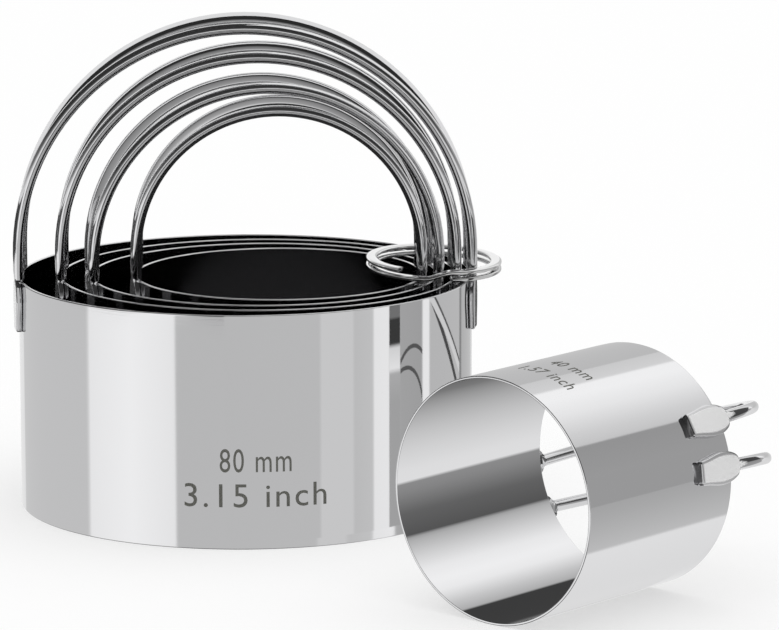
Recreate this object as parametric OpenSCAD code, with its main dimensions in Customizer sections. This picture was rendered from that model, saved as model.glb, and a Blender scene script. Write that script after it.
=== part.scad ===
// Set of five round biscuit cutters. Four stand nested, held together by a split
// ring through their handles. The smallest lies on its side in front of them.
// Every cutter is a plain steel band with two bent wires welded on as its handle.

/* [Bands] */
// Outside diameter of the largest band
band_80_d = 80; // [72:0.5:90]
// How much smaller across the second band is than the largest
step_70 = 10; // [8.5:0.5:12]
// How much smaller across the third band is than the second
step_60 = 8.6; // [7.6:0.5:10.6]
// How much smaller across the fourth band is than the third
step_50 = 10.4; // [8.4:0.5:12.4]
// Outside diameter of the smallest band, which lies on its side
band_40_d = 40.6; // [38:0.5:44]
// Height of the four nested bands
nest_h = 40.6; // [36:0.5:48]
// Height of the smallest band
small_h = 36.6; // [32:0.5:42]
// Thickness of the steel sheet
sheet_t = 0.45; // [0.35:0.05:0.6]

/* [Handle wires] */
// Diameter of the wire
wire_d = 2; // [1.8:0.1:2.2]
// Distance between the two wires of the largest cutter, at its rim
pair_80 = 12.4; // [9:0.2:13]
// Distance between the wires of the second cutter
pair_70 = 12.4; // [9:0.2:13]
// Distance between the wires of the third cutter
pair_60 = 10.8; // [8.6:0.2:11.2]
// Distance between the wires of the fourth cutter
pair_50 = 11.4; // [8:0.2:12]
// Distance between the wires of the smallest cutter
pair_40 = 7.8; // [6.4:0.2:9]
// Straight stretch of the largest cutter's wires above the rim
rise_80 = 4.8; // [3.6:0.2:7]
// Straight stretch of the second cutter's wires
rise_70 = 4.8; // [3.4:0.2:5.4]
// Straight stretch of the third cutter's wires
rise_60 = 3.5; // [2.5:0.2:3.9]
// Straight stretch of the fourth cutter's wires
rise_50 = 4.9; // [3.5:0.2:5.5]
// Straight stretch of the smallest cutter's wires
rise_40 = 2; // [1.2:0.2:5]
// Angle by which each wire leans away from its partner, in degrees
wire_lean = 1.8; // [1:0.2:3]

/* [Flattened wire ends] */
// Length of a flattened end below the rim
paddle_l = 8.8; // [7:0.2:11]
// Thickness of a flattened end
paddle_t = 1; // [0.8:0.05:1.1]
// Greatest width of a flattened end
paddle_w = 5.4; // [4.4:0.2:5.6]
// Width of the blunt tip of a flattened end
tip_w = 4; // [3:0.2:4.2]
// Length over which the round wire runs out on the flat
run_out = 3.2; // [2:0.2:5]

/* [Nesting] */
// Clearance from the second cutter's flattened ends to the largest band
gap_70 = 1.25; // [0.8:0.05:1.6]
// Clearance from the third cutter's flattened ends to the second band
gap_60 = 1.85; // [1.4:0.05:2.2]
// Clearance from the fourth cutter's flattened ends to the third band
gap_50 = 1.15; // [0.8:0.05:1.6]
// Turn of the third cutter in the nest, in degrees
turn_60 = 5; // [-6:1:6]

/* [Split ring] */
// Outside diameter of the split ring
ring_d = 24; // [23.6:0.2:26]
// Width of the ring's flat wire, across the ring
ring_w = 1.9; // [1.5:0.1:2]
// Height of one turn of the ring's wire
ring_h = 0.8; // [0.7:0.05:1]
// Gap between the two turns
ring_gap = 0.42; // [0.41:0.01:0.5]
// Angle of the stretch where the wire climbs from one turn to the next
climb = 24; // [20:2:36]
// Lean of the ring, in degrees
ring_lean = 2.8; // [0.5:0.1:3.2]
// Clearance of the ring over the rim and beside the legs that it leans on
ring_clear = 0.12; // [0.1:0.01:0.2]

/* [Lying cutter] */
// Distance of its open edge to the right of the nest's axis
small_x = 39; // [34:0.5:60]
// Distance of its open edge in front of the nest's axis
small_y = 92.7; // [90:0.5:110]
// Angle of its axis, turned away from the direction of the nest's width
small_turn = 47.4; // [40:0.2:60]
// Roll of its handle out of the level
small_roll = 18.5; // [0:0.5:25]

/* [Hidden] */
$fn = 96;
band_70_d = band_80_d - step_70;
band_60_d = band_70_d - step_60;
band_50_d = band_60_d - step_50;
wire_r = wire_d / 2;
proud = 0.2;
wire_out = paddle_t - wire_r + proud;
slim = 0.03;
cut = 0.5;

// Radius at which the legs stand, nearly over the band's wall, with the wire a little
// proud of its flattened end, and the distance of a leg from the handle's middle
function leg_r(d) = d / 2 + wire_out;
function leg_x(d, pair) = sqrt(pow(leg_r(d), 2) - pow(pair / 2, 2));

// Each nested band stands towards the right of the one around it
x_70 = band_80_d / 2 - sheet_t - gap_70 - paddle_t - band_70_d / 2;
x_60 = x_70 + band_70_d / 2 - sheet_t - gap_60 - paddle_t - band_60_d / 2;
x_50 = x_60 + band_60_d / 2 - sheet_t - gap_50 - paddle_t - band_50_d / 2;

// The set's own box, with the lying handle's arch as its right end and its open
// edge as its front
small_reach = leg_x(band_40_d, pair_40);
small_arch_x = small_x + (small_h + rise_40) * cos(small_turn)
  + small_reach * sqrt(pow(cos(small_turn), 2) + pow(sin(small_turn) * cos(small_roll), 2))
  + wire_r;
arch_wide = (pair_40 / 2 + (rise_40 + small_reach * 0.7) * sin(wire_lean))
  * sin(small_turn) * sin(small_roll);
right_end = small_arch_x + arch_wide;
left_end = leg_x(band_80_d, pair_80) + wire_r;
front_end = small_y + band_40_d / 2 * cos(small_turn);
back_end = band_80_d / 2;
nest_x = (left_end - right_end) / 2;
nest_y = (front_end - back_end) / 2;

// The ring leans on the largest cutter's legs, and rests on its rim
ring_mid_r = (ring_d - ring_w) / 2;
ring_in_r = ring_d / 2 - ring_w;
ring_tall = 2 * ring_h + ring_gap;
leg_room = ring_in_r - wire_r - ring_clear;
leg_y = pair_80 / 2 + ring_tall * sin(wire_lean);
ring_x = leg_x(band_80_d, pair_80) - sqrt(pow(leg_room, 2) - pow(leg_y, 2));
ring_side = -50;
rest_turn = acos((pow(band_80_d / 2, 2) + pow(ring_x, 2) - pow(ring_d / 2, 2)) / (band_80_d * ring_x));
rest_at = [band_80_d / 2 * cos(rest_turn) - ring_x, -band_80_d / 2 * sin(rest_turn)];
rest_drop = (rest_at[0] * cos(ring_side) + rest_at[1] * sin(ring_side)) * tan(ring_lean);
ring_z = nest_h + ring_clear + ring_tall / 2 / cos(ring_lean) + rest_drop;
ring_front = -88;

// The ring's wire is one tube of six sides, with its path and section from formulas
turn_rings = 24;
ring_sweep = 720 - 2 * climb / 2 - climb;
ring_steps = ceil(ring_sweep * turn_rings / 360);
pitch = ring_h + ring_gap;
function climbed(a) = min(max((a - (360 - climb / 2)) / climb, 0), 1);
function ring_level(a) = pitch * (climbed(a) - 0.5);
function ring_angle(i) = climb / 2 + i * ring_sweep / ring_steps;
function section(k) = [
  ring_w / 2 * [1, 0.72, -0.72, -1, -0.72, 0.72][k],
  ring_h / 2 * [0, 1, 1, 0, -1, -1][k]
];
function ring_point(i, k) = [
  (ring_mid_r + section(k)[0]) * cos(ring_angle(i)),
  (ring_mid_r + section(k)[0]) * sin(ring_angle(i)),
  ring_level(ring_angle(i)) + section(k)[1]
];
ring_points = [for (i = [0:ring_steps]) for (k = [0:5]) ring_point(i, k)];
function side_faces(i) = [for (k = [0:5]) each [
  [i * 6 + k, i * 6 + (k + 1) % 6, (i + 1) * 6 + k],
  [i * 6 + (k + 1) % 6, (i + 1) * 6 + (k + 1) % 6, (i + 1) * 6 + k]
]];
ring_faces = concat(
  [for (i = [0:ring_steps - 1]) each side_faces(i)],
  [for (k = [1:4]) [0, k + 1, k]],
  [for (k = [1:4]) [ring_steps * 6, ring_steps * 6 + k, ring_steps * 6 + k + 1]]
);

// Least gap of the ring's wire to itself, from one turn down to the other
function turn_gap(a) = ring_level(a + 360) - ring_level(a) - ring_h;
gaps = [for (i = [0:ring_steps]) if (ring_angle(i) + 360 <= ring_angle(ring_steps)) turn_gap(ring_angle(i))];
echo(least_gap_of_the_ring_wire_to_itself = min(gaps));

// Outline of a flattened end, drawn downwards: a leaf with round shoulders and a blunt tip
leaf_steps = 24;
leaf_top = 0.2;
neck_w = wire_d * 0.7;
belly = 0.42;
function leaf_half(t) = t < belly
  ? neck_w / 2 + (paddle_w - neck_w) / 2 * sqrt(sin(90 * t / belly))
  : tip_w / 2 + (paddle_w - tip_w) / 2 * (1 + cos(180 * (t - belly) / (1 - belly))) / 2;
function leaf_z(t) = leaf_top - t * (paddle_l + leaf_top);
leaf_outline = concat(
  [for (i = [0:leaf_steps]) [leaf_half(i / leaf_steps), leaf_z(i / leaf_steps)]],
  [for (i = [leaf_steps:-1:0]) [-leaf_half(i / leaf_steps), leaf_z(i / leaf_steps)]]
);

// A plain open band, standing on its cutting edge
module band(d, h) {
  difference() {
    cylinder(d = d, h = h);
    translate([0, 0, -cut]) cylinder(d = d - 2 * sheet_t, h = h + 2 * cut);
  }
}

// One flattened end, curved to lie on the band, with the wire running out on it,
// a hair slimmer than the round wire above
module paddle(d, h, angle) {
  rotate([0, 0, angle]) {
    intersection() {
      translate([0, 0, h - paddle_l - cut]) difference() {
        cylinder(r = d / 2 + paddle_t, h = paddle_l + leaf_top + 2 * cut);
        translate([0, 0, -cut]) cylinder(d = d, h = paddle_l + leaf_top + 4 * cut);
      }
      translate([0, 0, h]) rotate([90, 0, 90]) linear_extrude(height = d) polygon(leaf_outline);
    }
    difference() {
      translate([leg_r(d), 0, h - run_out]) cylinder(r = wire_r - slim, h = run_out);
      translate([0, 0, h - run_out - cut]) cylinder(d = d, h = run_out + 2 * cut);
      translate([d / 2 + paddle_t, -wire_d, h - run_out])
        rotate([0, atan(proud / run_out), 0])
          translate([0, 0, -cut]) cube([wire_d, 2 * wire_d, 2 * run_out]);
    }
  }
}

// The bent wire: two straight legs and a half circle, leaning away from its partner
module bow(d, h, pair, rise, side) {
  reach = leg_x(d, pair);
  difference() {
    translate([0, side * pair / 2, h]) rotate([-side * wire_lean, 0, 0]) {
      for (x = [-reach, reach]) translate([x, 0, -cut]) cylinder(d = wire_d, h = rise + cut);
      translate([0, 0, rise]) rotate([90, 0, 0])
        rotate_extrude(angle = 180) translate([reach, 0]) circle(d = wire_d);
    }
    translate([-d, -d, h - 4 * cut]) cube([2 * d, 2 * d, 4 * cut]);
  }
}

// One handle wire, with its two flattened ends; side is -1 in front and 1 behind
module handle_wire(d, h, pair, rise, side) {
  angle = asin(pair / 2 / leg_r(d));
  union() {
    bow(d, h, pair, rise, side);
    paddle(d, h, side * angle);
    paddle(d, h, 180 - side * angle);
  }
}

// Places of the nest, of the lying cutter and of the ring
module in_nest(x, turn) {
  translate([nest_x + x, nest_y, 0]) rotate([0, 0, turn]) children();
}
module lying() {
  translate([nest_x + small_x, nest_y - small_y, band_40_d / 2])
    rotate([0, 0, small_turn]) rotate([0, 90, 0]) rotate([0, 0, -90 - small_roll]) children();
}

module band_80() {
  color("silver") in_nest(0, 0) band(band_80_d, nest_h);
}
module front_wire_80() {
  color("gainsboro") in_nest(0, 0) handle_wire(band_80_d, nest_h, pair_80, rise_80, -1);
}
module rear_wire_80() {
  color("gainsboro") in_nest(0, 0) handle_wire(band_80_d, nest_h, pair_80, rise_80, 1);
}
module band_70() {
  color("silver") in_nest(x_70, 0) band(band_70_d, nest_h);
}
module front_wire_70() {
  color("gainsboro") in_nest(x_70, 0) handle_wire(band_70_d, nest_h, pair_70, rise_70, -1);
}
module rear_wire_70() {
  color("gainsboro") in_nest(x_70, 0) handle_wire(band_70_d, nest_h, pair_70, rise_70, 1);
}
module band_60() {
  color("silver") in_nest(x_60, turn_60) band(band_60_d, nest_h);
}
module front_wire_60() {
  color("gainsboro") in_nest(x_60, turn_60) handle_wire(band_60_d, nest_h, pair_60, rise_60, -1);
}
module rear_wire_60() {
  color("gainsboro") in_nest(x_60, turn_60) handle_wire(band_60_d, nest_h, pair_60, rise_60, 1);
}
module band_50() {
  color("silver") in_nest(x_50, 0) band(band_50_d, nest_h);
}
module front_wire_50() {
  color("gainsboro") in_nest(x_50, 0) handle_wire(band_50_d, nest_h, pair_50, rise_50, -1);
}
module rear_wire_50() {
  color("gainsboro") in_nest(x_50, 0) handle_wire(band_50_d, nest_h, pair_50, rise_50, 1);
}
module band_40() {
  color("silver") lying() band(band_40_d, small_h);
}
module upper_wire_40() {
  color("gainsboro") lying() handle_wire(band_40_d, small_h, pair_40, rise_40, -1);
}
module lower_wire_40() {
  color("gainsboro") lying() handle_wire(band_40_d, small_h, pair_40, rise_40, 1);
}
module split_ring() {
  color("white") translate([nest_x + ring_x, nest_y, ring_z])
    rotate([0, 0, ring_side]) rotate([0, ring_lean, 0]) rotate([0, 0, ring_front - ring_side])
      polyhedron(points = ring_points, faces = ring_faces, convexity = 6);
}

band_80();
front_wire_80();
rear_wire_80();
band_70();
front_wire_70();
rear_wire_70();
band_60();
front_wire_60();
rear_wire_60();
band_50();
front_wire_50();
rear_wire_50();
band_40();
upper_wire_40();
lower_wire_40();
split_ring();
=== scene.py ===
# Nest of four round biscuit cutters on a split ring, with a fifth cutter lying in front of it.
from math import atan2, copysign, cos, degrees, pi, radians, sin, sqrt, tan

import bpy
from mathutils import Matrix, Quaternion, Vector


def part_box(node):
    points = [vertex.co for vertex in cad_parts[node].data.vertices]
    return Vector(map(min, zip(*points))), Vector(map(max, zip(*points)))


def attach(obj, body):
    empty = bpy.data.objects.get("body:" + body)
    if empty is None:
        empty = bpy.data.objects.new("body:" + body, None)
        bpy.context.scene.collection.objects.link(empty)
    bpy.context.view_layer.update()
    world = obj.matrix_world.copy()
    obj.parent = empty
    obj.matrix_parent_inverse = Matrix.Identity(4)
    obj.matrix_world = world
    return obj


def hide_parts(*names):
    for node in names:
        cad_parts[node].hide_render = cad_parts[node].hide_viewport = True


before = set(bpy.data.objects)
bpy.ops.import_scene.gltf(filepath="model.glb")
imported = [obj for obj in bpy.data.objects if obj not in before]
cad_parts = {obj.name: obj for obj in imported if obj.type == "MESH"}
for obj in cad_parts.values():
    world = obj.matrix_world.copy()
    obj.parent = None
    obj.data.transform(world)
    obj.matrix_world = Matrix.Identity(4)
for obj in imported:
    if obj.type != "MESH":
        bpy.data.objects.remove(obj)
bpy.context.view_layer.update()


# The camera stands 0.9 m in front of the nest and a little above it, with a long lens, and
# looks just to the right of the nest's axis, so that the lying cutter is in the picture.
mm = 0.001
nest_low, nest_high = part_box("band_80")
nest_axis = Vector(((nest_low.x + nest_high.x) / 2, (nest_low.y + nest_high.y) / 2, 0))
view_height = radians(11.613)
view_roll = radians(-0.05)
view_point = nest_axis + Vector((0, -900 * mm * cos(view_height), 21 * mm + 900 * mm * sin(view_height)))
look_at = nest_axis + Vector((25.51 * mm, 2.35 * mm, 32.45 * mm))

bpy.ops.object.camera_add(location=view_point)
camera = bpy.context.object
camera.rotation_mode = "QUATERNION"
camera.rotation_quaternion = (look_at - view_point).to_track_quat("-Z", "Y") @ Quaternion((0, 0, 1), view_roll)
camera.data.sensor_width = 36
camera.data.lens = 234.3
camera.data.clip_start = 0.01
camera.data.clip_end = 20
bpy.context.scene.camera = camera


# Each band is a strip of stainless sheet rolled into a hoop, its seam welded and ground away
# at the back. The outside is polished to a mirror, and both edges are a little rounded.
sheet = 0.45 * mm
edge_round = 0.12 * mm
edge_stay = 0.2 * mm


class Socket:
    """An output of a shader node. An expression on it adds the Math nodes that it needs."""

    def __init__(self, tree, output=None):
        self.tree, self.output = tree, output

    def node(self, kind, settings=None, sockets=None, out=0):
        """Adds a node: its settings first, a ramp's stops among them, then values or links."""
        made = self.tree.nodes.new(kind)
        for name, value in (settings or {}).items():
            if name == "stops":
                ramp = made.color_ramp
                while len(ramp.elements) < len(value):
                    ramp.elements.new(1.0)
                for element, (place, level) in zip(ramp.elements, value):
                    element.position = place
                    element.color = (level, level, level, 1)
            else:
                setattr(made, name, value)
        for name, value in (sockets or {}).items():
            if isinstance(value, Socket):
                self.tree.links.new(value.output, made.inputs[name])
            else:
                made.inputs[name].default_value = value
        return Socket(self.tree, made.outputs[out]) if made.outputs else None

    def math(self, operation, *values):
        return self.node("ShaderNodeMath", {"operation": operation}, dict(enumerate(values)))

    def __add__(self, other):
        return self.math("ADD", self, other)

    def __radd__(self, other):
        return self.math("ADD", other, self)

    def __sub__(self, other):
        return self.math("SUBTRACT", self, other)

    def __rsub__(self, other):
        return self.math("SUBTRACT", other, self)

    def __mul__(self, other):
        return self.math("MULTIPLY", self, other)

    def __rmul__(self, other):
        return self.math("MULTIPLY", other, self)

    def __truediv__(self, other):
        return self.math("DIVIDE", self, other)


def steel(name, tone, roughness, streaks, haze, relief, satin=False):
    """Polished steel, its streaks along the metal's own grain, and satin where it is flattened."""
    material = bpy.data.materials.new(name)
    material.use_nodes = True
    tree = material.node_tree
    tree.nodes.clear()
    start = Socket(tree)
    grain = start.node("ShaderNodeAttribute", {"attribute_name": "grain"}, out=1)
    along = start.node("ShaderNodeMapping", {}, {"Vector": grain, "Scale": streaks})
    fine = start.node("ShaderNodeTexNoise", {}, {"Vector": along, "Scale": 1.0, "Detail": 4.0, "Roughness": 0.6})
    broad = start.node("ShaderNodeTexNoise", {}, {"Vector": grain, "Scale": 45.0, "Detail": 2.0})
    rough = roughness + haze * (fine - 0.5) + haze * (broad - 0.5)
    shade = start.node(
        "ShaderNodeMix",
        {"data_type": "RGBA"},
        {"Factor": broad, "A": (*[t * 0.985 for t in tone], 1), "B": (*tone, 1)},
        out=2,
    )
    bump = start.node("ShaderNodeBump", {}, {"Height": fine, "Strength": relief, "Distance": 0.00002})
    metal = 1.0
    if satin:
        flattened = start.node("ShaderNodeAttribute", {"attribute_name": "flattened"}, out=2)
        pale = {"Factor": flattened, "A": shade, "B": (0.97, 0.97, 0.97, 1)}
        shade = start.node("ShaderNodeMix", {"data_type": "RGBA"}, pale, out=2)
        rough = rough + 0.3 * flattened
        metal = 1 - 0.7 * flattened
    surface = start.node(
        "ShaderNodeBsdfPrincipled",
        {},
        {"Base Color": shade, "Metallic": metal, "Roughness": rough, "Normal": bump},
    )
    start.node("ShaderNodeOutputMaterial", {}, {"Surface": surface})
    return material


def keep_grain(piece, grain):
    """Gives a piece its grain: for each vertex a point in metres, whose streaks follow the metal."""
    layer = piece.data.attributes.new("grain", "FLOAT_VECTOR", "POINT")
    for item, vertex in zip(layer.data, piece.data.vertices):
        item.vector = grain(vertex.co)


def apply_all(piece):
    bpy.ops.object.select_all(action="DESELECT")
    piece.select_set(True)
    bpy.context.view_layer.objects.active = piece
    for modifier in list(piece.modifiers):
        bpy.ops.object.modifier_apply(modifier=modifier.name)


def rolled_band(name, diameter, height):
    """One hoop in its own upright place: a circle drawn up, given its wall and its soft edges."""
    bpy.ops.object.select_all(action="DESELECT")
    bpy.ops.mesh.primitive_circle_add(vertices=288, radius=diameter / 2, location=(0, 0, 0))
    piece = bpy.context.object
    piece.name = name
    bpy.ops.object.mode_set(mode="EDIT")
    bpy.ops.mesh.select_all(action="SELECT")
    for step in (edge_stay, height - 2 * edge_stay, edge_stay):
        bpy.ops.mesh.extrude_region_move(TRANSFORM_OT_translate={"value": (0, 0, step)})
    bpy.ops.mesh.select_all(action="SELECT")
    bpy.ops.mesh.normals_make_consistent(inside=False)
    bpy.ops.object.mode_set(mode="OBJECT")
    wall = piece.modifiers.new("wall", "SOLIDIFY")
    wall.thickness = sheet
    wall.offset = -1
    edges = piece.modifiers.new("edges", "BEVEL")
    edges.width = edge_round
    edges.segments = 3
    edges.limit_method = "ANGLE"
    edges.angle_limit = radians(50)
    apply_all(piece)
    bpy.ops.object.shade_smooth_by_angle(angle=radians(40))
    keep_grain(piece, lambda co: co.copy())
    return piece


mirror_steel = steel("mirror_steel", (0.78, 0.78, 0.79), 0.05, (20, 20, 6000), 0.02, 0.1)

lying_turn = radians(47.4)
lying_roll = radians(18.5)
lying_low, lying_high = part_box("band_40")
lying_d = lying_high.z - lying_low.z
lying_h = ((lying_high.x - lying_low.x) - lying_d * sin(lying_turn)) / cos(lying_turn)
lying_middle = (lying_low + lying_high) / 2

cutters = {}
for size, turn in (("80", 0), ("70", 0), ("60", radians(5)), ("50", 0)):
    low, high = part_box("band_" + size)
    stand = Matrix.Translation(((low.x + high.x) / 2, (low.y + high.y) / 2, 0)) @ Matrix.Rotation(turn, 4, "Z")
    cutters[size] = {"diameter": high.x - low.x, "height": high.z, "place": stand}
cutters["40"] = {
    "diameter": lying_d,
    "height": lying_h,
    "place": Matrix.Translation(lying_middle)
    @ Matrix.Rotation(lying_turn, 4, "Z")
    @ Matrix.Rotation(pi / 2, 4, "Y")
    @ Matrix.Rotation(-pi / 2 - lying_roll, 4, "Z")
    @ Matrix.Translation((0, 0, -lying_h / 2)),
}


def put(piece, size, node):
    """Sets a piece of a cutter in its place, on its body, for its CAD node."""
    piece.data.transform(cutters[size]["place"])
    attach(piece, "cutter_" + size)
    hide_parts(node)


for size, cutter in cutters.items():
    band = rolled_band("rolled_band_" + size, cutter["diameter"], cutter["height"])
    band.data.materials.append(mirror_steel)
    put(band, size, "band_" + size)


# Each handle is two bent wires of 2 mm. A wire's legs stand on the rim, and the outer half of
# each leg goes on down the outside of the band, hammered into a blunt leaf and spot-welded.
wire_r = 1 * mm
leaf_long = 8.8 * mm
leaf_thick = 1 * mm
leaf_wide = 5.4 * mm
leaf_tip = 4 * mm
leaf_belly = 0.42
tip_round = 0.4 * mm
proud = 0.2 * mm
tongue = 2.4 * mm
foot = 0.3 * mm
leg_out = leaf_thick - wire_r + proud
wire_lean = radians(1.8)
wire_around = 32
arch_steps = 64

wires = {
    "80": {"pair": 12.4 * mm, "rise": 4.8 * mm, "shoulder": 0.2 * mm, "satin": 0.3, "names": ("front", "rear")},
    "70": {"pair": 12.4 * mm, "rise": 4.8 * mm, "shoulder": 0.2 * mm, "satin": 0.3, "names": ("front", "rear")},
    "60": {"pair": 10.8 * mm, "rise": 3.5 * mm, "shoulder": 0.2 * mm, "satin": 0.3, "names": ("front", "rear")},
    "50": {"pair": 11.4 * mm, "rise": 4.9 * mm, "shoulder": 0.2 * mm, "satin": 0.3, "names": ("front", "rear")},
    "40": {"pair": 7.8 * mm, "rise": 2.0 * mm, "shoulder": 1.2 * mm, "satin": 1.0, "names": ("upper", "lower")},
}


def eased(value):
    value = min(max(value, 0), 1)
    return value * value * (3 - 2 * value)


def leaf_half(below, shoulder):
    """Half the leaf's width at a distance below the rim, from its shoulder to its blunt tip."""
    share = (below + shoulder) / (leaf_long + shoulder)
    if share < leaf_belly:
        return wire_r + (leaf_wide / 2 - wire_r) * sqrt(sin(pi / 2 * max(share, 0) / leaf_belly))
    return leaf_tip / 2 + (leaf_wide - leaf_tip) / 4 * (1 + cos(pi * (share - leaf_belly) / (1 - leaf_belly)))


def hammered(co, reach, side_y, lean, band_r, height, shoulder):
    """Where the hammer leaves a point of the wire's end, and how much it has flattened it."""
    below = height - co.z
    shift = lean * max(-below, 0)
    angle = atan2(side_y, reach)
    outward = Vector((cos(angle), sin(angle), 0))
    sideways = Vector((-sin(angle), cos(angle), 0))
    offset = Vector((co.x - reach, co.y - side_y - shift, 0))
    turn = atan2(offset.dot(outward), offset.dot(sideways))
    square = 2 / (2 + 4 * eased((below + shoulder) / (0.6 * mm)))
    side = copysign(abs(cos(turn)) ** square, cos(turn))
    face = copysign(abs(sin(turn)) ** square, sin(turn))
    left = min(max(tip_round - (leaf_long - below), 0), tip_round)
    corner = tip_round - sqrt(tip_round**2 - left**2)
    width = (leaf_half(below, shoulder) - corner) * side
    flat = band_r + leaf_thick + proud * eased(-below / tongue) - 0.4 * corner
    wall = sqrt(band_r**2 - width**2)
    bulge = sqrt(max(wire_r**2 - width**2, 0))
    if below > 0:
        radial = wall + (flat - wall) * (face + 1) / 2
    elif below > -shoulder and abs(side) > 0.2 and face > 0:
        radial = wall + (flat - wall) * (face + 1) / 2
    elif face > 0:
        radial = min(band_r + leg_out + bulge, flat)
    else:
        whole = min(1, 0.72 + 0.28 * -below / foot)
        radial = min(wall if below > -shoulder else 2 * band_r, band_r + leg_out - bulge * whole)
    mark = 1 if face > 0.6 and radial > flat - 0.03 * mm and below < leaf_long - tip_round else 0
    spot = outward * radial + sideways * width
    return Vector((spot.x, spot.y + shift, co.z)), mark


def bent_wire(name, diameter, height, pair, rise, shoulder, satin, side):
    """One wire in its cutter's upright place: a circle drawn up, spun over and drawn down."""
    band_r = diameter / 2
    side_y = side * pair / 2
    reach = sqrt((band_r + leg_out) ** 2 - side_y**2)
    rim = Vector((0, side_y, height))
    straight = [foot / 2] * 2 + [0.2 * mm] * 8
    straight.append(rise - sum(straight))
    below = [0.02 * mm] + [0.2 * mm] * 4 + [0.42 * mm] * 18 + [0.1 * mm, 0.1 * mm, 0.06 * mm, 0.04 * mm, 0.02 * mm]
    below = [step * leaf_long / sum(below) for step in below]
    bpy.ops.object.select_all(action="DESELECT")
    bpy.ops.mesh.primitive_circle_add(vertices=wire_around, radius=wire_r, location=rim + Vector((reach, 0, 0)))
    piece = bpy.context.object
    piece.name = name
    bpy.ops.object.transform_apply(location=True, rotation=False, scale=False)
    bpy.ops.object.mode_set(mode="EDIT")
    bpy.ops.mesh.select_all(action="SELECT")
    for step in straight:
        bpy.ops.mesh.extrude_region_move(TRANSFORM_OT_translate={"value": (0, 0, step)})
    bpy.ops.mesh.spin(steps=arch_steps, angle=pi, center=rim + Vector((0, 0, rise)), axis=(0, 1, 0))
    for step in reversed(straight):
        bpy.ops.mesh.extrude_region_move(TRANSFORM_OT_translate={"value": (0, 0, -step)})
    bpy.ops.mesh.select_all(action="SELECT")
    bpy.ops.transform.rotate(value=side * wire_lean, orient_axis="X", center_override=rim)
    bpy.ops.mesh.select_all(action="DESELECT")
    bpy.ops.mesh.select_non_manifold(extend=False)
    for step in below:
        bpy.ops.mesh.extrude_region_move(TRANSFORM_OT_translate={"value": (0, 0, -step)})
    bpy.ops.mesh.select_all(action="DESELECT")
    bpy.ops.mesh.select_non_manifold(extend=False)
    bpy.ops.mesh.edge_face_add()
    bpy.ops.mesh.select_all(action="SELECT")
    bpy.ops.mesh.normals_make_consistent(inside=False)
    bpy.ops.object.mode_set(mode="OBJECT")
    flattened = piece.data.attributes.new("flattened", "FLOAT", "POINT")
    for vertex in piece.data.vertices:
        if vertex.co.z < height + min(tongue, rise):
            leg = copysign(reach, vertex.co.x)
            vertex.co, flat = hammered(vertex.co, leg, side_y, side * tan(wire_lean), band_r, height, shoulder)
            flattened.data[vertex.index].value = satin * flat
    bpy.ops.object.shade_smooth_by_angle(angle=radians(35))
    return piece


wire_steel = steel("wire_steel", (0.74, 0.74, 0.75), 0.07, (900, 900, 60), 0.03, 0.25, satin=True)

for size, wire in wires.items():
    cutter = cutters[size]
    for side, where in zip((-1, 1), wire["names"]):
        handle = bent_wire(
            "bent_" + where + "_wire_" + size,
            cutter["diameter"],
            cutter["height"],
            wire["pair"],
            wire["rise"],
            wire["shoulder"],
            wire["satin"],
            side,
        )
        keep_grain(handle, lambda co: co.copy())
        handle.data.materials.append(wire_steel)
        put(handle, size, where + "_wire_" + size)


# The split ring is a key ring: one flat spring wire wound round twice, which lies on the rims
# and holds the four handles together. Its plating is bright.
ring_d = 24 * mm
ring_w = 1.9 * mm
ring_h = 0.8 * mm
ring_pitch = 1.22 * mm
ring_climb = radians(24)
ring_lean = radians(2.8)
ring_side = radians(-50)
ring_front = radians(-88)
ring_step = radians(4)

bpy.ops.object.select_all(action="DESELECT")
bpy.ops.mesh.primitive_circle_add(vertices=24, radius=1, rotation=(pi / 2, 0, 0))
ring = bpy.context.object
ring.name = "key_ring"
ring.scale = (ring_w / 2, ring_h / 2, 1)
bpy.ops.object.transform_apply(location=False, rotation=True, scale=True)
for vertex in ring.data.vertices:
    vertex.co.x = ring_w / 2 * copysign(abs(vertex.co.x * 2 / ring_w) ** 0.62, vertex.co.x)
    vertex.co.z = ring_h / 2 * copysign(abs(vertex.co.z * 2 / ring_h) ** 0.62, vertex.co.z)
    vertex.co += Vector(((ring_d - ring_w) / 2, 0, -ring_pitch / 2))
ring_first = ring_climb / 2
ring_steps = round((4 * pi - 2 * ring_climb) / ring_step)
bpy.ops.object.mode_set(mode="EDIT")
bpy.ops.mesh.select_all(action="SELECT")
bpy.ops.transform.rotate(value=-ring_first, orient_axis="Z", center_override=(0, 0, 0))
for step in range(ring_steps):
    here = ring_first + step * ring_step - (2 * pi - ring_climb / 2)
    lift = ring_pitch * (eased((here + ring_step) / ring_climb) - eased(here / ring_climb))
    bpy.ops.mesh.extrude_region_move(TRANSFORM_OT_translate={"value": (0, 0, lift)})
    bpy.ops.transform.rotate(value=-ring_step, orient_axis="Z", center_override=(0, 0, 0))
bpy.ops.mesh.select_all(action="DESELECT")
bpy.ops.mesh.select_non_manifold(extend=False)
bpy.ops.mesh.edge_face_add()
bpy.ops.mesh.select_all(action="SELECT")
bpy.ops.mesh.normals_make_consistent(inside=False)
bpy.ops.object.mode_set(mode="OBJECT")
ends = ring.modifiers.new("ends", "BEVEL")
ends.width = 0.1 * mm
ends.segments = 3
ends.limit_method = "ANGLE"
ends.angle_limit = radians(60)
apply_all(ring)
bpy.ops.object.shade_smooth_by_angle(angle=radians(50))
ring_low, ring_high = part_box("split_ring")
keep_grain(ring, lambda co: co.copy())
ring.data.transform(
    Matrix.Translation((ring_low + ring_high) / 2)
    @ Matrix.Rotation(ring_side, 4, "Z")
    @ Matrix.Rotation(ring_lean, 4, "Y")
    @ Matrix.Rotation(ring_front - ring_side, 4, "Z")
)
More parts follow.
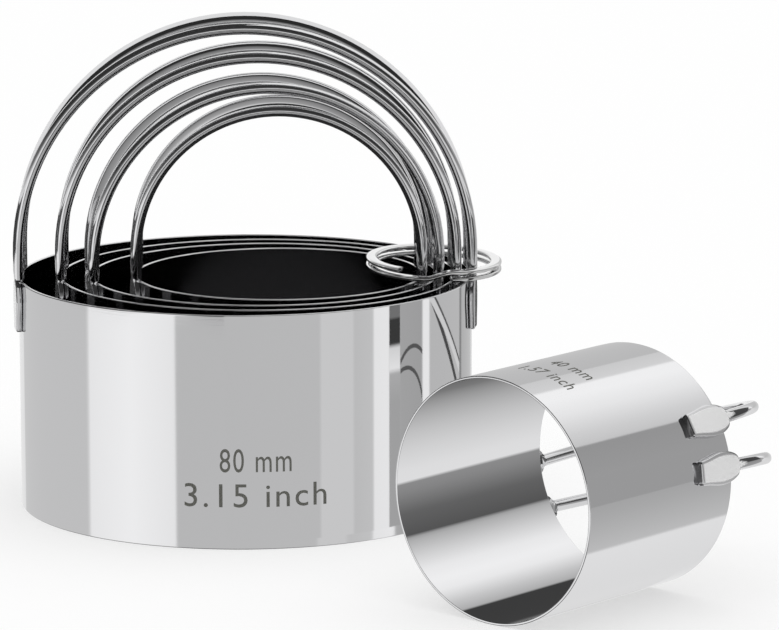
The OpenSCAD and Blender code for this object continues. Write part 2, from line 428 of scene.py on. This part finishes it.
ring.data.materials.append(steel("ring_steel", (0.8, 0.8, 0.8), 0.06, (900, 900, 60), 0.03, 0.2))
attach(ring, "ring")
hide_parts("split_ring")


# Each cutter's size is etched into its band in dark grey: millimetres above inches. The marks
# are upright when the cutter stands on its cutting edge.
mark_high = {"80": 4.1 * mm, "70": 4.1 * mm, "60": 4.1 * mm, "50": 3.6 * mm, "40": 2.8 * mm}
mark_proud = 0.02 * mm
mark_grey = bpy.data.materials.new("mark_grey")
mark_grey.use_nodes = True
mark_grey.node_tree.nodes.clear()
ink = Socket(mark_grey.node_tree)
ink_spots = ink.node("ShaderNodeTexNoise", {}, {"Vector": ink.node("ShaderNodeTexCoord", out=3), "Scale": 2500.0})
ink_shade = ink.node(
    "ShaderNodeMix",
    {"data_type": "RGBA"},
    {"Factor": ink_spots, "A": (0.1, 0.1, 0.09, 1), "B": (0.15, 0.15, 0.13, 1)},
    out=2,
)
ink_surface = ink.node(
    "ShaderNodeBsdfPrincipled", {}, {"Base Color": ink_shade, "Roughness": 0.55 + 0.2 * ink_spots}
)
ink.node("ShaderNodeOutputMaterial", {}, {"Surface": ink_surface})


def etched_mark(name, words, size, middle_z, around, wide):
    """One line of a mark, centred at a height and an angle round the band, bent to its curve."""
    bpy.ops.object.select_all(action="DESELECT")
    bpy.ops.object.text_add()
    mark = bpy.context.object
    mark.name = name
    mark.data.body = words
    mark.data.size = mark_high[size]
    mark.data.align_x = "CENTER"
    mark.data.align_y = "CENTER"
    mark.data.space_character = 1.12
    mark.data.resolution_u = 4
    bpy.ops.object.convert(target="MESH")
    bpy.ops.object.mode_set(mode="EDIT")
    bpy.ops.mesh.select_all(action="SELECT")
    bpy.ops.mesh.remove_doubles(threshold=1e-6)
    bpy.ops.mesh.quads_convert_to_tris()
    bpy.ops.mesh.subdivide(number_cuts=2)
    bpy.ops.object.mode_set(mode="OBJECT")
    radius = cutters[size]["diameter"] / 2 + mark_proud
    left, right = (end(vertex.co.x for vertex in mark.data.vertices) for end in (min, max))
    low, high = (end(vertex.co.y for vertex in mark.data.vertices) for end in (min, max))
    for vertex in mark.data.vertices:
        across = (vertex.co.x - (left + right) / 2) * wide * mark_high[size] / (right - left)
        above = (vertex.co.y - (low + high) / 2) * mark_high[size] / (high - low)
        angle = around + across / radius
        vertex.co = Vector((radius * cos(angle), radius * sin(angle), middle_z + above))
    mark.data.materials.append(mark_grey)
    mark.data.transform(cutters[size]["place"])
    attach(mark, "cutter_" + size)
    return mark


inch = 25.4
mark_around = {"80": radians(-87.8), "40": radians(-60)}
inch_wide = {"40": 3.8}
for size in cutters:
    around = mark_around.get(size, radians(-90))
    etched_mark("size_mark_" + size + "_mm", size + " mm", size, 15.5 * mm, around, 3.0)
    etched_mark("size_mark_" + size + "_inch", f"{int(size) / inch:.2f} inch", size, 9.4 * mm, around, inch_wide.get(size, 6.0))


# The table is a plain white sheet under plain soft light from above, and the background is
# white. What the steel mirrors is the studio round it: white panels and grey walls, and close to
# the cutters, cards and walls that only the steel sees, which paint shade, highlights and
# reflections on it.
bpy.ops.object.select_all(action="DESELECT")
bpy.ops.mesh.primitive_plane_add(size=6, location=(0, 0, 0))
floor = bpy.context.object
floor.name = "table"
white = bpy.data.materials.new("table_white")
white.use_nodes = True
white.node_tree.nodes.clear()
paint = Socket(white.node_tree)
seen = paint.node("ShaderNodeLightPath", out=0)
paint.node(
    "ShaderNodeOutputMaterial",
    {},
    {
        "Surface": paint.node(
            "ShaderNodeMixShader",
            {},
            {
                0: seen * 0.58,
                1: paint.node("ShaderNodeBsdfDiffuse", {}, {"Color": (0.985, 0.985, 0.985, 1)}),
                2: paint.node("ShaderNodeEmission", {}, {"Color": (1, 1, 1, 1), "Strength": 1.0}),
            },
        )
    },
)
floor.data.materials.append(white)
floor.visible_glossy = False


def ramp(socket, low, high, table):
    """The brightness at a place between low and high, from a list of (place, brightness)."""
    stops = [((place - low) / (high - low), level) for place, level in table]
    return socket.node("ShaderNodeValToRGB", {"stops": stops}, {"Fac": (socket - low) / (high - low)})


def steel_sees_only(card, level_of, from_inside=True, shown_of=None):
    """Makes a card or wall a light that only the steel sees, and from one side. It lights nothing
    else and casts no shadow.
    """
    material = bpy.data.materials.new(card.name)
    material.use_nodes = True
    material.node_tree.nodes.clear()
    start = Socket(material.node_tree)
    place = start.node("ShaderNodeTexCoord", out=3)
    split = place.node("ShaderNodeSeparateXYZ", {}, {"Vector": place})
    x, y, z = (Socket(split.tree, o) for o in split.output.node.outputs)
    glow = start.node("ShaderNodeEmission", {}, {"Color": (1, 1, 1, 1), "Strength": level_of(x, y, z)})
    clear = start.node("ShaderNodeBsdfTransparent")
    shown = start.node("ShaderNodeNewGeometry", out=6)
    shown = shown if from_inside else 1 - shown
    shown = shown * shown_of(x, y, z) if shown_of else shown
    surface = start.node("ShaderNodeMixShader", {}, {0: shown, 1: clear, 2: glow})
    start.node("ShaderNodeOutputMaterial", {}, {"Surface": surface})
    card.data.materials.clear()
    card.data.materials.append(material)
    card.visible_camera = False
    card.visible_diffuse = False
    card.visible_shadow = False
    card.visible_transmission = False


def round_wall(name, radius, low, high, place=Matrix()):
    """An open cylinder between two heights, in a place."""
    bpy.ops.object.select_all(action="DESELECT")
    bpy.ops.mesh.primitive_cylinder_add(vertices=256, radius=radius, depth=high - low, end_fill_type="NOTHING")
    wall = bpy.context.object
    wall.name = name
    wall.data.transform(place @ Matrix.Translation((0, 0, (low + high) / 2)))
    return wall


def round_azimuth(x, y):
    """Degrees round the nest's axis, from the camera's side, more towards the right."""
    return x.math("ARCTAN2", x - nest_axis.x, nest_axis.y - y) * degrees(1)


near_side = Vector((sin(lying_turn), -cos(lying_turn), 0))


def round_lying(x, y, z):
    """Degrees round the lying cutter's axis, from its near side, more towards the top."""
    side = (x - lying_middle.x) * near_side.x + (y - lying_middle.y) * near_side.y
    return x.math("ARCTAN2", z - lying_middle.z, side) * degrees(1)


# Painted shade: a near-black disc inside the nest, seen only by the steel, darkens the nest's inside.
bpy.ops.object.select_all(action="DESELECT")
bpy.ops.mesh.primitive_circle_add(
    vertices=64,
    radius=cutters["80"]["diameter"] / 2 - sheet,
    fill_type="NGON",
    location=nest_axis + Vector((0, 0, 0.02 * mm)),
)
shade = bpy.context.object
shade.name = "shade_under_the_nest"
bpy.ops.object.transform_apply(location=True)
steel_sees_only(shade, lambda x, y, z: 0.03, from_inside=False)

stand = Matrix.Translation(nest_axis)
steel_sees_only(
    round_wall("wall_for_the_legs", 250 * mm, 1.5 * mm, 60 * mm, stand),
    lambda x, y, z: ramp(
        round_azimuth(x, y),
        -180,
        180,
        [(-180, 0.06), (-75, 0.06), (-60, 0.1), (-52, 0.7), (-46, 1.1), (-32, 1.1), (-24, 0.5), (-16, 0.14),
         (0, 0.1), (18, 0.14), (26, 0.6), (32, 0.85), (44, 0.85), (52, 0.5), (58, 0.25), (66, 0.4), (85, 0.4)],
    ),
    shown_of=lambda x, y, z: x.math("LESS_THAN", round_azimuth(x, y), 85),
)


def before_the_nest(x, y, z):
    """Painted reflections for the nest's band: panels side by side, and over them a flag that is
    grey, then bright, then dark going up, two dark arcs and three slanting lines.
    """
    azimuth, high = round_azimuth(x, y), z / mm
    panels = ramp(
        azimuth,
        -10,
        110,
        [(-6, 0.6), (20.6, 0.61), (21.4, 0.72), (30.8, 0.72), (31.6, 0.63), (37.6, 0.66), (38.3, 0.98),
         (43.4, 1.0), (44, 0.6), (47.6, 0.5), (48.2, 0.45), (57.7, 0.43), (58.3, 1.0), (61.4, 1.0), (61.9, 0.58),
         (83.8, 0.58), (84.4, 0.27), (86, 0.27), (86.8, 0.52), (104, 0.6)],
    )
    over = ramp(high, 0, 42, [(22, 0.44), (27, 0.5), (28, 0.95), (31.6, 0.8), (32.4, 0.05), (36.6, 0.05), (37, 0.2)])
    on_flag = azimuth.math("COMPARE", azimuth, 45.8, 2.1)
    panels = panels * (1 - on_flag) + over * on_flag
    for middle, height in ((53.5, 22.6), (50.5, 19)):
        across, above = (azimuth - middle) / 7.8, (high - height) / 8.6
        arc = azimuth.math("COMPARE", azimuth.math("SQRT", across * across + above * above), 1, 0.045)
        arc = arc * azimuth.math("COMPARE", azimuth, 53, 4.9) * above.math("GREATER_THAN", above, 0)
        panels = panels * (1 - 0.75 * arc)
    for slope, place, half, level in ((1.06, 103.6, 1.0, 0.08), (1.41, 117.2, 1.3, 0.75), (1.41, 119.2, 0.5, 0.1)):
        line = azimuth.math("COMPARE", azimuth + slope * high, place, half) * azimuth.math("LESS_THAN", azimuth, 84)
        panels = panels * (1 - line) + level * line
    return panels


# Painted reflections: a wall just before the nest's band, seen only by the steel, paints these on it.
steel_sees_only(
    round_wall("painted_reflections_before_the_nest", 46 * mm, 0, 42 * mm, stand),
    before_the_nest,
    shown_of=lambda x, y, z: x.math("COMPARE", round_azimuth(x, y), 49, 55),
)

arch_middle = stand @ Matrix.Translation((0, 0, 45.3 * mm)) @ Matrix.Rotation(-pi / 2, 4, "X")
# Painted highlight: a light just over the nest's rear wires, seen only by the steel.
steel_sees_only(
    round_wall("light_over_the_rear_wires", 46.5 * mm, 0, 22 * mm, arch_middle),
    lambda x, y, z: 0.95,
    shown_of=lambda x, y, z: z.math("GREATER_THAN", z, 52 * mm),
)


def from_arch_middle(x, z):
    """Distance from the middle of the nested arches, in mm."""
    across, over = x - nest_axis.x, z - 45.3 * mm
    return x.math("SQRT", across * across + over * over) / mm


# Painted highlight and shade: a disc between the front and rear wires, seen only by the steel, bright in its middle
# and dark towards its edge.
bpy.ops.object.select_all(action="DESELECT")
bpy.ops.mesh.primitive_circle_add(vertices=96, radius=46 * mm, fill_type="NGON")
painted_highlight_disc = bpy.context.object
painted_highlight_disc.name = "painted_light_between_the_wires"
painted_highlight_disc.data.transform(arch_middle)
steel_sees_only(
    painted_highlight_disc,
    lambda x, y, z: ramp(
        from_arch_middle(x, z), 0, 48, [(0, 0.9), (14, 0.9), (22, 0.45), (30, 0.3), (34, 0.2), (36.5, 0.03)]
    ),
    from_inside=False,
    shown_of=lambda x, y, z: z.math("GREATER_THAN", z, 54 * mm),
)

# Painted reflections at the leaves: small cards seen only by the steel, near black by the right leaf, a painted
# shade, and grey by the left one.
for where, turn, middle, wide, tall, level in (
    ("before_the_right_leaf", -pi / 2, (41.3 * mm, -11 * mm, 34 * mm), 3 * mm, 16 * mm, 0.04),
    ("behind_the_right_leaf", pi / 2, (43.7 * mm, 5 * mm, 34 * mm), 4 * mm, 9 * mm, 0.04),
    ("before_the_left_leaf", -pi / 2, (-40.6 * mm, -11 * mm, 34 * mm), 3.4 * mm, 16 * mm, 0.6),
):
    bpy.ops.object.select_all(action="DESELECT")
    bpy.ops.mesh.primitive_plane_add(size=1)
    flag = bpy.context.object
    flag.name = "card_" + where
    in_place = stand @ Matrix.Translation(middle) @ Matrix.Rotation(turn, 4, "X")
    flag.data.transform(in_place @ Matrix.Diagonal((wide, tall, 1, 1)))
    steel_sees_only(flag, lambda x, y, z: level, from_inside=False)

lying = cutters["40"]["place"]
# Painted reflections on the lying cutter: walls close to it, seen only by the steel, beside its handle and behind
# it.
steel_sees_only(
    round_wall("painted_reflection_beside_the_lying_handle", 30 * mm, 52 * mm, 100 * mm, lying),
    lambda x, y, z: ramp(
        round_lying(x, y, z),
        -180,
        180,
        [(-180, 0.85), (-38, 0.85), (-32, 0.42), (4, 0.36), (9, 0.07), (56, 0.08), (62, 0.85)],
    ),
    shown_of=lambda x, y, z: x.math("LESS_THAN", round_lying(x, y, z), 90),
)
steel_sees_only(
    round_wall("painted_reflection_behind_the_lying_cutter", 31 * mm, 10 * mm, 62 * mm, lying),
    lambda x, y, z: 0.6,
    shown_of=lambda x, y, z: x.math("GREATER_THAN", round_lying(x, y, z), 98)
    * x.math("LESS_THAN", round_lying(x, y, z), 158),
)
# Painted reflection: a glowing tube 0.07 mm inside the lying band's inner wall, seen only by the steel, paints the
# inner wall's light and dark bands.
inner_r = cutters["40"]["diameter"] / 2 - sheet
steel_sees_only(
    round_wall("painted_reflection_in_the_lying_cutter", inner_r - 0.07 * mm, 0, lying_h, lying),
    lambda x, y, z: ramp(
        round_lying(x, y, z),
        -180,
        180,
        [(-180, 0.93), (-179.4, 0.92), (-178.8, 0.33), (-175, 0.3), (-165, 0.155), (-153.8, 0.11), (-153.2, 0.5),
         (-145, 0.78), (-137, 1.03), (-130, 1.1), (-124, 1.04), (-115, 0.7), (-107.5, 0.5), (-106.9, 0.055),
         (-82, 0.055), (-72, 0.3), (60, 0.2), (115, 0.16), (126, 0.22), (135, 0.37), (145, 0.53), (155, 0.68),
         (165, 0.81), (175, 0.92), (180, 0.93)],
    ),
    from_inside=False,
)

world = bpy.data.worlds.new("studio")
bpy.context.scene.world = world
world.use_nodes = True
world.node_tree.nodes.clear()
sky = Socket(world.node_tree)
ray = sky.node("ShaderNodeLightPath", out=3)
seen = sky.node("ShaderNodeLightPath", out=0)
toward = sky.node("ShaderNodeTexCoord", out=0)
parts = toward.node("ShaderNodeSeparateXYZ", {}, {"Vector": toward})
right, back, up = (Socket(world.node_tree, o) for o in parts.output.node.outputs)
azimuth = right.math("ARCTAN2", right, back * -1) * degrees(1)
height_angle = up.math("ARCSINE", up) * degrees(1)

front_panels = ramp(
    azimuth,
    -180,
    180,
    [(-180, 0.86), (-156, 0.86), (-155, 0.66), (-87.5, 0.66), (-86.5, 1.0), (-60, 1.08), (-36.5, 0.99),
     (-35.5, 0.6), (35, 0.61), (36.5, 0.72), (51, 0.72), (52.5, 0.64), (66, 0.68), (67, 0.98), (80, 1.03),
     (81, 0.5), (130, 0.6), (180, 0.86)],
)
roll_angle = up.math("ARCTAN2", up, right * near_side.x + back * near_side.y) * degrees(1)
side_panels = ramp(
    roll_angle,
    -180,
    180,
    [(-180, 0.64), (-122, 0.83), (-54, 0.93), (-53, 0.63), (-20, 0.5), (10, 0.41), (46.8, 0.37), (47.8, 0.7),
     (60, 0.79), (81, 1.0), (100, 1.1), (112, 1.09), (113, 0.8), (132, 0.72), (160, 0.62), (180, 0.62)],
)
is_side = azimuth.math("GREATER_THAN", azimuth, 83) * azimuth.math("LESS_THAN", azimuth, 172)
is_high = height_angle.math("GREATER_THAN", height_angle, -3) * (1 - is_side)
is_back = is_high * azimuth.math("GREATER_THAN", azimuth.math("ABSOLUTE", azimuth), 140)
overhead = ramp(height_angle, -90, 90, [(-3, 1.0), (3, 0.9), (12, 0.2), (24, 0.04), (90, 0.03)])
# Painted shade: the table mirrored in the steel grows darker the more steeply the steel looks down.
table_shade = ramp(height_angle, -90, 90, [(-90, 0.05), (-55, 0.09), (-36, 0.25), (-22, 0.85), (-15, 1.0)])
backdrop = ramp(height_angle, -90, 90, [(20, 1.0), (40, 0.5), (55, 0.05), (90, 0.03)])
studio = front_panels * table_shade * (1 - is_side) * (1 - is_high) + side_panels * is_side
studio = studio + overhead * (is_high - is_back) + backdrop * is_back
from_above = 1.5 * up.math("MAXIMUM", up, 0)
level = ray * studio + seen * 1.0 + (1 - ray) * (1 - seen) * from_above
background = sky.node("ShaderNodeBackground", {}, {"Color": (1, 1, 1, 1), "Strength": level})
sky.node("ShaderNodeOutputWorld", {}, {"Surface": background})

bpy.context.scene.view_settings.view_transform = "Standard"
